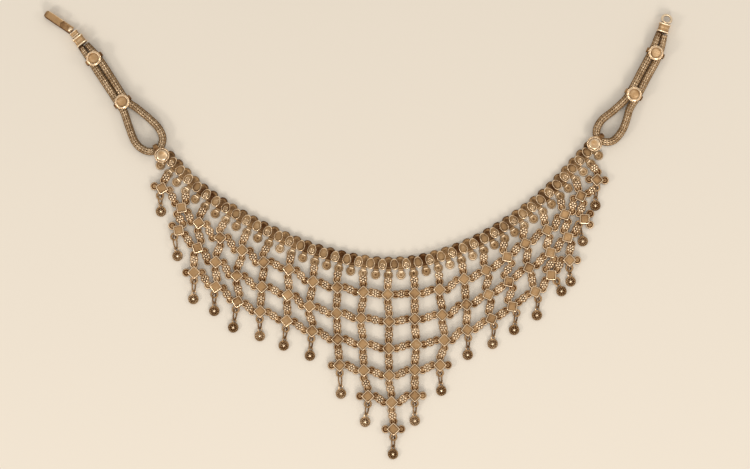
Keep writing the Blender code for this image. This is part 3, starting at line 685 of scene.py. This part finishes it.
def add_node(tree, kind, **sockets):
    """Node of a kind with its inputs set by name."""
    node = tree.nodes.new(kind)
    for label, value in sockets.items():
        node.inputs[label.replace("_", " ")].default_value = value
    return node


def eased(tree, value, low, high, to_low=0.0, to_high=1.0):
    """Value eased from one range to another, as an output socket."""
    node = add_node(tree, "ShaderNodeMapRange")
    node.interpolation_type = "SMOOTHSTEP"
    for label, number in (("From Min", low), ("From Max", high), ("To Min", to_low),
                          ("To Max", to_high)):
        node.inputs[label].default_value = number
    tree.links.new(value, node.inputs["Value"])
    return node.outputs["Result"]


def summed(tree, first, second, share):
    """first + second times a share."""
    node = tree.nodes.new("ShaderNodeMath")
    node.operation = "MULTIPLY_ADD"
    tree.links.new(second, node.inputs[0])
    node.inputs[1].default_value = share
    tree.links.new(first, node.inputs[2])
    return node.outputs[0]


def mixed(tree, first, second, factor):
    """Two colours mixed by a factor."""
    node = tree.nodes.new("ShaderNodeMix")
    node.data_type = "RGBA"
    for label, value in (("Factor", factor), ("A", first), ("B", second)):
        tree.links.new(value, node.inputs[label])
    return node.outputs["Result"]


def aged_silver_group():
    """Node group: silver that is dark in recesses and painted shade, tarnished on faces, and
    bright on rubbed edges and painted highlights.
    """
    tree = bpy.data.node_groups.new("aged_silver", "ShaderNodeTree")
    for way, sockets in (("INPUT", GROUP_INPUTS), ("OUTPUT", GROUP_OUTPUTS)):
        for label, kind in sockets.items():
            tree.interface.new_socket(label, in_out=way, socket_type=f"NodeSocket{kind}")
    given = tree.nodes.new("NodeGroupInput").outputs
    result = tree.nodes.new("NodeGroupOutput").inputs
    clouds = add_node(tree, "ShaderNodeTexNoise", Detail=4.0, Roughness=0.6)
    pits = add_node(tree, "ShaderNodeTexNoise", Detail=2.0, Roughness=0.5)
    link = tree.links.new
    for noise, scale in ((clouds, "Cloud Scale"), (pits, "Pit Scale")):
        link(given["Vector"], noise.inputs["Vector"])
        link(given[scale], noise.inputs["Scale"])
    level = given["Polish"]
    for value, low, high, share in ((clouds.outputs["Fac"], *NOISE_RANGE, CLOUD_SHARE),
                                    (given["Tone"], 0.0, 1.0, TONE_SHARE),
                                    (pits.outputs["Fac"], *NOISE_RANGE, PIT_SHARE)):
        level = summed(tree, level, eased(tree, value, low, high, -0.5, 0.5), share)
    faces = mixed(tree, given["Recess_and_shade"], given["Patina"], eased(tree, level, *PATINA_POLISH))
    link(mixed(tree, faces, given["Worn_and_highlight"], eased(tree, level, *WORN_AND_HIGHLIGHT_POLISH)), result["Color"])
    link(eased(tree, level, 0.0, 1.0, *ROUGHNESS), result["Roughness"])
    link(summed(tree, pits.outputs["Fac"], clouds.outputs["Fac"], CLOUD_RELIEF), result["Height"])
    return tree


def silver(name):
    """Aged silver whose dark colour for recesses and painted shade, and whose patina, are darker
    or lighter by its shade.
    """
    settings = bpy.context.scene.necklace.silver
    material = bpy.data.materials.new(name)
    material.use_nodes = True
    tree = material.node_tree
    shader = tree.nodes["Principled BSDF"]
    shader.inputs["Metallic"].default_value = METALLIC
    shader.inputs["Specular Tint"].default_value = EDGE_COLOUR
    group = tree.nodes.new("ShaderNodeGroup")
    group.node_tree = bpy.data.node_groups.get("aged_silver") or aged_silver_group()
    place = tree.nodes.new("ShaderNodeTexCoord")
    link = tree.links.new
    link(place.outputs["Object"], group.inputs["Vector"])
    for label in ("polish", "tone"):
        value = tree.nodes.new("ShaderNodeAttribute")
        value.attribute_name = label
        link(value.outputs["Fac"], group.inputs[label.capitalize()])
    for label, colour in (("Recess_and_shade", settings.recess_and_shade_colour), ("Patina", settings.patina_colour)):
        group.inputs[label].default_value = (*[part * SHADES[name] for part in colour], 1.0)
    group.inputs["Worn_and_highlight"].default_value = (*settings.worn_and_highlight_colour, 1.0)
    group.inputs["Cloud Scale"].default_value = 1 / settings.patina_size
    group.inputs["Pit Scale"].default_value = 1 / settings.pit_size
    bump = add_node(tree, "ShaderNodeBump", Strength=RELIEF_STRENGTH, Distance=RELIEF)
    link(group.outputs["Height"], bump.inputs["Height"])
    link(group.outputs["Color"], shader.inputs["Base Color"])
    link(group.outputs["Roughness"], shader.inputs["Roughness"])
    link(bump.outputs["Normal"], shader.inputs["Normal"])
    return material


# Pieces

def rosette(settings):
    """Rosette: a rimmed dish with granules round a middle one."""
    size = settings.granule_radius / MM
    ring = ROSETTE_BEADS._replace(count=settings.granules, size=size)
    return joined(turned(ROSETTE_PROFILE, outline(24)), bead_ring(ring),
                  bead_ring(ROSETTE_MIDDLE._replace(size=size)))


class BuildNet(bpy.types.Operator):
    """Build the plaques, their lobes and the rosettes that join them"""

    bl_idname = "necklace.build_net"
    bl_label = "Net"

    def execute(self, context):
        settings = context.scene.necklace.net
        chance = np.random.default_rng(NET_SEED)
        net, joins, _drops, last_lobes = lay_net()
        metal = silver("net_silver")
        plaques = [plaque for strand in net for plaque in strand]
        places, turns = (np.array(values) for values in zip(*plaques))
        tones = chance.random(len(plaques))
        tilts = settings.tilt * chance.uniform(-1, 1, (len(plaques), 2))
        half = PLAQUE_SIDE / 2 + PLAQUE_RIM
        tray = turned(PLAQUE_PROFILE, outline(40, half, half, PLAQUE_SQUARE))
        seats = frames(places, turns + math.pi / 4, 0.0, tilts)
        work = {"net_plaques": placed(tray, seats, tones)}

        lobes = np.array([lobes_of(plaque) for plaque in plaques])
        eyed = np.zeros((len(plaques), 4), dtype=bool)
        ends = np.cumsum([len(strand) for strand in net]) - 1
        eyed[ends, last_lobes] = True
        cup = turned(LOBE_PROFILE, outline(24))
        eye = turned(EYE_PROFILE, outline(24), True)
        cups, eyes = lobes[~eyed], lobes[eyed]
        work["net_lobes"] = joined(
            placed(cup, frames(cups, 0.0), chance.random(len(cups))),
            placed(eye, frames(eyes, 0.0), chance.random(len(eyes))))

        places, turns, _stretches = (np.array(values) for values in zip(*joins))
        turns = turns + chance.uniform(-ROSETTE_TURN, ROSETTE_TURN, len(joins))
        rises = chance.uniform(*ROSETTE_RISE, len(joins))
        work["net_rosettes"] = placed(rosette(settings), frames(places, turns, rises),
                                      chance.random(len(joins)))

        ring = JOIN_RING._replace(wire=settings.link_wire / MM)
        work["net_links"] = joined(*[
            placed(wire_ring(ring._replace(half_x=ROSETTE_RADIUS * join.stretch), 24),
                   frames([join.place], join.turn)) for join in joins])
        for name, form in work.items():
            make_piece(name, form, metal, ["bib_net"])
        return {"FINISHED"}


class BuildCollar(bpy.types.Operator):
    """Build the collar's caps and the loops behind them"""

    bl_idname = "necklace.build_collar"
    bl_label = "Collar"

    def execute(self, context):
        chance = np.random.default_rng(COLLAR_SEED)
        metal = silver("collar_silver")
        # The loops' own copy of the silver; their darkness, oxide and painted shade under the
        # caps, comes from the hoop's low levels.
        dark = silver("collar_loop_silver")
        cap = moved(turned(CAP_PROFILE, outline(32, **CAP_OUTLINE)), (0, -CAP_DROP, 0))
        rows = collar_frames(np.arange(LINKS))
        caps = placed(cap, rows, chance.random(LINKS))
        make_piece("collar_caps", caps, metal, ["collar_chain"])

        work = joined(wire_ring(CAP_RING, 20), bead_ring(CAP_BEADS), bead_ring(CAP_MIDDLE))
        work = moved(work, (0, -CAP_WORK_DROP, 0))
        make_piece("collar_granules", placed(work, rows[::2]), metal,
                   ["collar_chain"])

        links = np.arange(-1, LINKS)
        loop_rows = collar_frames(links + 0.5)
        hoop = moved(turned(HOOP_PROFILE, outline(28, **HOOP_OUTLINE)), (0, HOOP_RISE, 0))
        neck = lofted(**NECK, sides=16)
        neck = neck._replace(points=neck.points[:, [1, 0, 2]] * (1, -1, 1) + (0, -NECK_DROP, 0))
        foot = moved(turned(FOOT_PROFILE, outline(28)), (0, -LOOP_FOOT, 0))
        loops = placed(joined(hoop, neck, foot), loop_rows, chance.random(len(links)))
        make_piece("collar_loops", loops, dark, ["collar_chain"])
        return {"FINISHED"}


class BuildDrops(bpy.types.Operator):
    """Build the drops with their granules, loops and links"""

    bl_idname = "necklace.build_drops"
    bl_label = "Drops"

    def execute(self, context):
        chance = np.random.default_rng(DROP_SEED)
        drops = lay_net()[2]
        metal = silver("drop_silver")
        disc = joined(turned(DISC_PROFILE, outline(36)), *map(bead_ring, DROP_BEADS),
                      bead_ring(DROP_MIDDLE, sides=10),
                      moved(wire_ring(DROP_LOOP, 20), (DISC_RADIUS + DROP_LOOP_OUT, 0, 0)))
        places, turns, _reaches = zip(*drops)
        copies = placed(disc, frames(places, turns), chance.random(len(drops)))
        names = [f"drop_{number:02d}" for number in range(1, len(drops) + 1)]
        make_piece("drop_discs", copies, metal, names)

        links = []
        along, across = outline(24).T
        for drop in drops:
            start, end = DISC_RADIUS + LINK_START, drop.reach + LINK_END
            path = np.stack([(start + end) / 2 + (end - start) / 2 * along,
                             LINK_HALF_WIDTH * across, LINK_HEIGHT + LINK_SLANT * across], axis=1)
            ring = swept(path[None], (0, 0, 1), LINK_WIRE * outline(WIRE_SIDES), True,
                         LINK_POLISH)
            links.append(placed(ring, frames([drop.place], drop.turn)))
        make_piece("drop_links", joined(*links), metal, names)
        return {"FINISHED"}


def strap_runs(strap):
    """Middle places of the doubled chain: down one run, round the fold and up the other."""
    start = np.array(strap.ferrule)
    first, second = (np.array(slide) for slide in strap.slides)
    lead = (first - start) / np.linalg.norm(first - start)
    middle = [start + lead * (FERRULE_LENGTH / 2 + FERRULE_GAP), first, (first + second) / 2,
              second]
    across = []
    for i in range(4):
        ahead = middle[min(i + 1, 3)] - middle[max(i - 1, 0)]
        half = CHAIN_APART / 2 * (PINCH if i == 0 else 1.0)
        across.append(np.array([-ahead[1], ahead[0]]) / np.linalg.norm(ahead) * half)
    side = -1 if np.dot(np.array(strap.fold[0]) - second, across[3]) < 0 else 1
    down, back = ([place + way * offset for place, offset in zip(middle, across)]
                  for way in (side, -side))
    return down + [np.array(place) for place in strap.fold] + back[::-1]


def woven(strap, settings):
    """Woven chain: two mirrored wires a column, each looping forward outside and back inside.

    At phase t, with c = cos 2 pi t and s = sin 2 pi t, a wire lies t + lean (1 - c) / 2 stitches
    along the route, (1 + c) / 2 of half a column to its side, and s times a swell further out.
    """
    route = smooth_route(strap_runs(strap), CHAIN_STEP)
    length = CHAIN_STEP * (len(route) - 1)
    stitch = settings.stitch / MM
    wire = settings.wire / MM
    phase = np.arange(0, length / stitch - 1, 1 / CHAIN_PLACES)
    cos, sin = np.cos(2 * math.pi * phase), np.sin(2 * math.pi * phase)
    along = np.clip((phase + CHAIN_LEAN * (1 - cos) / 2) * stitch, 0, length)
    measure = np.linspace(0, length, len(route))
    heading = np.gradient(route, axis=0)
    heading = heading / np.linalg.norm(heading, axis=1, keepdims=True)
    place = np.stack([np.interp(along, measure, route[:, i]) for i in range(2)], axis=1)
    ahead = np.stack([np.interp(along, measure, heading[:, i]) for i in range(2)], axis=1)
    ends = np.minimum(along, length - along) / PINCH_LENGTH
    girth = PINCH + (1 - PINCH) * np.clip(ends, 0, 1)
    columns = 2 * math.pi * (np.arange(settings.columns) + 0.5) / settings.columns
    half = math.pi / settings.columns * CHAIN_SPREAD
    angle = np.concatenate([columns[:, None] + side * half * (1 + cos[None]) / 2
                            for side in (-1, 1)])
    reach = (CHAIN_RADIUS - wire + CHAIN_OUT + CHAIN_SWELL * sin[None]) * girth[None]
    outward = np.stack([-np.cos(angle) * ahead[None, :, 1], np.cos(angle) * ahead[None, :, 0],
                        np.sin(angle)], axis=-1)
    paths = outward * reach[..., None]
    paths[..., :2] += place[None]
    paths[..., 2] += CHAIN_HEIGHT
    # Painted shade: the wires' level falls from the top of the chain to its sides, as light falls
    # on a round bar
    upward = np.clip(np.sin(angle), 0.0, 1.0)
    wear_and_shading = np.clip(CHAIN_POLISH + CHAIN_CREST * sin[None], 0.0, 1.0) * upward ** CHAIN_SIDE_SHADE
    wires = swept(paths, outward, wire * outline(5), False, wear_and_shading[..., None])
    middle = place[::HEART_EVERY]
    middle = np.column_stack([middle, np.full(len(middle), CHAIN_HEIGHT)])
    section = (CHAIN_RADIUS - HEART_THINNER) * outline(12)
    return joined(wires, swept(middle[None], (0, 0, 1), section, False, HEART_POLISH))


class BuildChains(bpy.types.Operator):
    """Build the woven chains of both straps"""

    bl_idname = "necklace.build_chains"
    bl_label = "Woven chains"

    def execute(self, context):
        for strap in STRAPS:
            make_piece(f"woven_wires_{strap.side}", woven(strap, context.scene.necklace.chain),
                       silver(f"chain_silver_{strap.side}"),
                       [f"woven_chain_{strap.side}"], crease=180.0)
        return {"FINISHED"}


def band(half_width, top):
    """Flat loop round the chain: a flat strip carried round a rounded box across X."""
    around = outline(40, power=SLEEVE_SQUARE)
    middle = top / 2
    path = np.zeros((1, len(around), 3))
    path[0, :, 1] = around[:, 0] * (half_width + SLEEVE_WALL / 2)
    path[0, :, 2] = middle + around[:, 1] * (middle - SLEEVE_WALL / 2)
    strip = outline(12, SLEEVE_WALL / 2, SLEEVE_LENGTH / 2, SLEEVE_SQUARE)
    across = np.column_stack([np.zeros(len(around)), around])
    return swept(path, across[None], strip, True, SLEEVE_POLISH)


def strap_frame(place, ahead):
    """Frame at a place with X along a flat direction."""
    return frames([place], math.atan2(ahead[1], ahead[0]))


class BuildMounts(bpy.types.Operator):
    """Build the slides on the straps and the end buttons"""

    bl_idname = "necklace.build_mounts"
    bl_label = "Slides and buttons"

    def execute(self, context):
        metal = silver("mount_silver")
        floor = CHAIN_HEIGHT + CHAIN_RADIUS + SLEEVE_GAP
        tray = joined(turned(TRAY_PROFILE, outline(56)), bead_ring(TRAY_BEADS),
                      band(CHAIN_APART / 2 + CHAIN_RADIUS + SLEEVE_GAP, floor + SLEEVE_WALL))
        disc = joined(turned(BUTTON_PROFILE, outline(56)), bead_ring(BUTTON_BEADS))
        post = turned(POST_PROFILE, outline(12))
        ends = collar_frames([0, LINKS - 1])
        for strap, end, inset in zip(STRAPS, ends, (-POST_INSET, POST_INSET)):
            stops = [strap.ferrule, *strap.slides]
            for index, name in enumerate(("upper", "lower")):
                ahead = np.subtract(strap.slides[1], stops[index])
                rows = strap_frame(strap.slides[index], ahead)
                node = f"slide_{strap.side}_{name}"
                make_piece(f"{node}_tray", placed(tray, rows), metal, [node])
            ahead = np.subtract(strap.fold[strap.bail + 1], strap.fold[strap.bail - 1])
            bail = placed(band(CHAIN_RADIUS + SLEEVE_GAP + BAIL_PLAY, floor + SLEEVE_WALL),
                          strap_frame(strap.fold[strap.bail], ahead))
            foot = end[:2, 3] + inset * end[:2, 0]
            button = joined(placed(disc, frames([strap.button], 0.0)), bail,
                            placed(post, frames([foot], 0.0)))
            node = f"end_button_{strap.side}"
            make_piece(f"{node}_dome", button, metal, [node])
        return {"FINISHED"}


def hook_sheet():
    """Folded sheet: lower leaf, half circle round the tip and upper leaf, carried along Y."""
    bend = (HOOK_SHEET + HOOK_THROAT) / 2
    low = HOOK_LOW + HOOK_SHEET / 2
    turn = np.radians(np.linspace(-90, 90, 13))
    lower = np.linspace(HOOK_START, HOOK_LENGTH - TIP_ROUND - bend - HOOK_SHEET / 2, 30)
    upper = np.linspace(lower[-1], HOOK_LENGTH - HOOK_MOUTH, 22)
    x = np.concatenate([lower, lower[-1] + bend * np.cos(turn[1:-1]), upper])
    z = np.concatenate([np.full(len(lower), low), low + bend + bend * np.sin(turn[1:-1]),
                        np.full(len(upper), low + 2 * bend)])
    half = HOOK_WIDTH / 2
    beyond = np.clip((x - (HOOK_LENGTH - TIP_ROUND - half)) / half, 0, 0.97)
    width = half * np.sqrt(1 - beyond ** 2)
    section = outline(28, power=HOOK_SQUARE)[None] * np.stack(
        [width, np.full(len(x), HOOK_SHEET / 2)], axis=1)[:, None]
    path = np.stack([x, np.zeros(len(x)), z], axis=1)[None]
    edge = section[None, ..., 0] / half
    # Painted shade on the lower leaf and the rounded tip, a painted highlight on one edge and
    # painted shade on the other
    leaf = (HOOK_POLISH + HOOK_LOWER_LEAF_SHADE * np.clip((z - low) / (2 * bend), 0, 1)
            - HOOK_TIP_SHADE * np.clip((x - HOOK_LENGTH + half) / half, 0, 1))[None, :, None]
    bright, dark = np.clip(-edge - 0.8, 0, 0.2), np.clip(edge - 0.7, 0, 0.3)
    form = swept(path, (0, 1, 0), section[None], False,
                 leaf + HOOK_EDGE_HIGHLIGHT * bright - HOOK_EDGE_SHADE * dark)
    points = form.points.copy()
    notch = (points[:, 2] > low + bend) & (points[:, 0] < HOOK_LENGTH - HOOK_MOUTH + HOOK_LIP)
    points[notch, 0] -= HOOK_NOTCH * np.abs(points[notch, 1]) / half
    return form._replace(points=points)


class BuildClasp(bpy.types.Operator):
    """Build the ferrules, the clasp's hook and its ring"""

    bl_idname = "necklace.build_clasp"
    bl_label = "Clasp"

    def execute(self, context):
        metal = silver("clasp_silver")
        left, right = (strap_frame(strap.ferrule, np.subtract(strap.ferrule, strap.slides[0]))
                       for strap in STRAPS)
        half = FERRULE_LENGTH / 2
        top = FERRULE_HIGH - COLLET_DROP
        body = lofted(FERRULE_LENGTH, FERRULE_WIDTH / 2, FERRULE_LOW, FERRULE_HIGH)
        neck = lofted(COLLET_GROOVE + COLLET_BITE, COLLET_NECK / 2, COLLET_LOW + COLLET_INSET,
                      top - COLLET_INSET)
        collet = lofted(COLLET_LENGTH, COLLET_WIDTH / 2, COLLET_LOW, top)
        neck = moved(neck, (half + COLLET_GROOVE / 2, 0, 0))
        collet = moved(collet, (half + COLLET_GROOVE + COLLET_LENGTH / 2, 0, 0))
        work = {"ferrule_left_body": (joined(body, neck, collet), left, "ferrule_left")}
        radius = RING_RADIUS - RING_EASE
        ring = wire_ring(WireRing(radius, radius, RING_WIRE, 0.0, RING_POLISH), 48, 14)
        tilt = math.radians(RING_TILT)
        lean = np.array([[math.cos(tilt), 0, math.sin(tilt)], [0, 1, 0],
                         [-math.sin(tilt), 0, math.cos(tilt)]])
        ring = ring._replace(points=ring.points @ lean.T
                             + (half + RING_RADIUS, 0, FERRULE_HIGH / 2))
        work["ferrule_right_body"] = (joined(body, ring), right, "ferrule_right")
        root = half + COLLET_GROOVE + COLLET_LENGTH + HOOK_CLEAR
        latitude = np.radians(np.linspace(-82, 82, 14))
        ball = turned(np.stack([HOOK_BALL * np.cos(latitude), HOOK_BALL * np.sin(latitude),
                                0.6 + 0.4 * np.sin(latitude)], axis=1), outline(24))
        hook = joined(hook_sheet(), moved(ball, (HOOK_BALL, 0, HOOK_LOW + HOOK_BALL)))
        hook = placed(hook, frames([(root, 0.0)], math.radians(HOOK_SWING)))
        work["hook_sheet"] = (hook, left, "clasp_hook")
        for name, (form, rows, node) in work.items():
            make_piece(name, placed(form, rows), metal, [node])
        return {"FINISHED"}


# Stage

def floor_material(colour):
    """Pale matt card with faint clouds."""
    material = bpy.data.materials.new("pale_card")
    material.use_nodes = True
    tree = material.node_tree
    shader = tree.nodes["Principled BSDF"]
    shader.inputs["Roughness"].default_value = CARD_ROUGHNESS
    shader.inputs["Specular IOR Level"].default_value = CARD_SHEEN
    place = tree.nodes.new("ShaderNodeTexCoord")
    clouds = add_node(tree, "ShaderNodeTexNoise", Scale=6.0, Detail=2.0)
    tree.links.new(place.outputs["Object"], clouds.inputs["Vector"])
    mix = tree.nodes.new("ShaderNodeMix")
    mix.data_type = "RGBA"
    mix.inputs["A"].default_value = (*[part * CARD_SHADE for part in colour], 1.0)
    mix.inputs["B"].default_value = (*colour, 1.0)
    tree.links.new(clouds.outputs["Fac"], mix.inputs["Factor"])
    tree.links.new(mix.outputs["Result"], shader.inputs["Base Color"])
    return material


Lamp = namedtuple("Lamp", "name place size share")
LAMPS = [
    Lamp("lamp_left", (-0.85, -0.45, 0.6), 0.22, 1.15),
    Lamp("lamp_right", (0.85, 0.05, 0.6), 0.22, 0.4),
    Lamp("lamp_front", (0.24, -1.0, 0.66), 0.42, 2.4),
    Lamp("lamp_top", (0.1, 0.3, 1.3), 0.5, 1.0)]


class BuildStage(bpy.types.Operator):
    """Set up the floor, the lamps and the camera"""

    bl_idname = "necklace.build_stage"
    bl_label = "Stage"

    def execute(self, context):
        settings = context.scene.necklace.stage
        scene = context.scene
        mesh = bpy.data.meshes.new("floor")
        square = [(x * FLOOR_REACH, y * FLOOR_REACH, FLOOR_HEIGHT)
                  for x, y in ((-1, -1), (1, -1), (1, 1), (-1, 1))]
        mesh.from_pydata(square, [], [(0, 1, 2, 3)])
        mesh.materials.append(floor_material(settings.floor_colour))
        floor = bpy.data.objects.new("floor", mesh)
        scene.collection.objects.link(floor)
        floor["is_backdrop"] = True
        centre = np.array([VIEW_CENTRE[0] * MM, VIEW_CENTRE[1] * MM, 0.0])
        for lamp in LAMPS:
            light = bpy.data.lights.new(lamp.name, "AREA")
            light.shape = "DISK"
            light.size = lamp.size
            light.energy = settings.lamp_power * lamp.share
            light.color = LAMP_COLOUR
            holder = bpy.data.objects.new(lamp.name, light)
            away = np.array(lamp.place) - centre
            flat = math.hypot(away[0], away[1])
            holder.location = lamp.place
            holder.rotation_euler = (math.atan2(flat, away[2]), 0.0,
                                     math.atan2(away[1], away[0]) + math.pi / 2)
            scene.collection.objects.link(holder)
        world = bpy.data.worlds.new("studio")
        world.use_nodes = True
        sky = world.node_tree.nodes["Background"]
        sky.inputs["Color"].default_value = SKY_COLOUR
        sky.inputs["Strength"].default_value = settings.sky
        scene.world = world
        camera = bpy.data.cameras.new("camera")
        camera.sensor_width = SENSOR
        camera.lens = SENSOR * settings.camera_height / (VIEW_WIDTH * MM)
        eye = bpy.data.objects.new("camera", camera)
        eye.location = (centre[0], centre[1], settings.camera_height)
        scene.collection.objects.link(eye)
        scene.camera = eye
        scene.view_settings.view_transform = "Standard"
        return {"FINISHED"}


class NecklacePanel(bpy.types.Panel):
    """Sidebar panel with the settings and the pieces."""

    bl_idname = "VIEW3D_PT_necklace"
    bl_label = "Necklace"
    bl_space_type = "VIEW_3D"
    bl_region_type = "UI"
    bl_category = "Necklace"

    def draw(self, context):
        """List every setting and operator."""
        settings = context.scene.necklace
        for group in (settings.silver, settings.net, settings.chain, settings.stage):
            box = self.layout.box()
            for label in group.__annotations__:
                box.prop(group, label)
        for builder in BUILDERS:
            self.layout.operator(builder.bl_idname)


BUILDERS = (BuildNet, BuildCollar, BuildDrops, BuildChains, BuildMounts, BuildClasp, BuildStage)
CLASSES = (SilverSettings, NetSettings, ChainSettings, StageSettings, NecklaceSettings,
           *BUILDERS, NecklacePanel)


def register():
    """Register the classes and the scene's settings."""
    for kind in CLASSES:
        bpy.utils.register_class(kind)
    bpy.types.Scene.necklace = PointerProperty(type=NecklaceSettings)


def unregister():
    """Take the classes and the settings away again."""
    del bpy.types.Scene.necklace
    for kind in reversed(CLASSES):
        bpy.utils.unregister_class(kind)


def corners():
    """Lowest and highest corner of the shown object as plain lists."""
    return [[float(value) for value in corner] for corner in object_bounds()]


def main():
    """Build every piece."""
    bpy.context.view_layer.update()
    register()
    for builder in BUILDERS:
        family, label = builder.bl_idname.split(".")
        getattr(getattr(bpy.ops, family), label)()


if __name__ == "__main__":
    main()
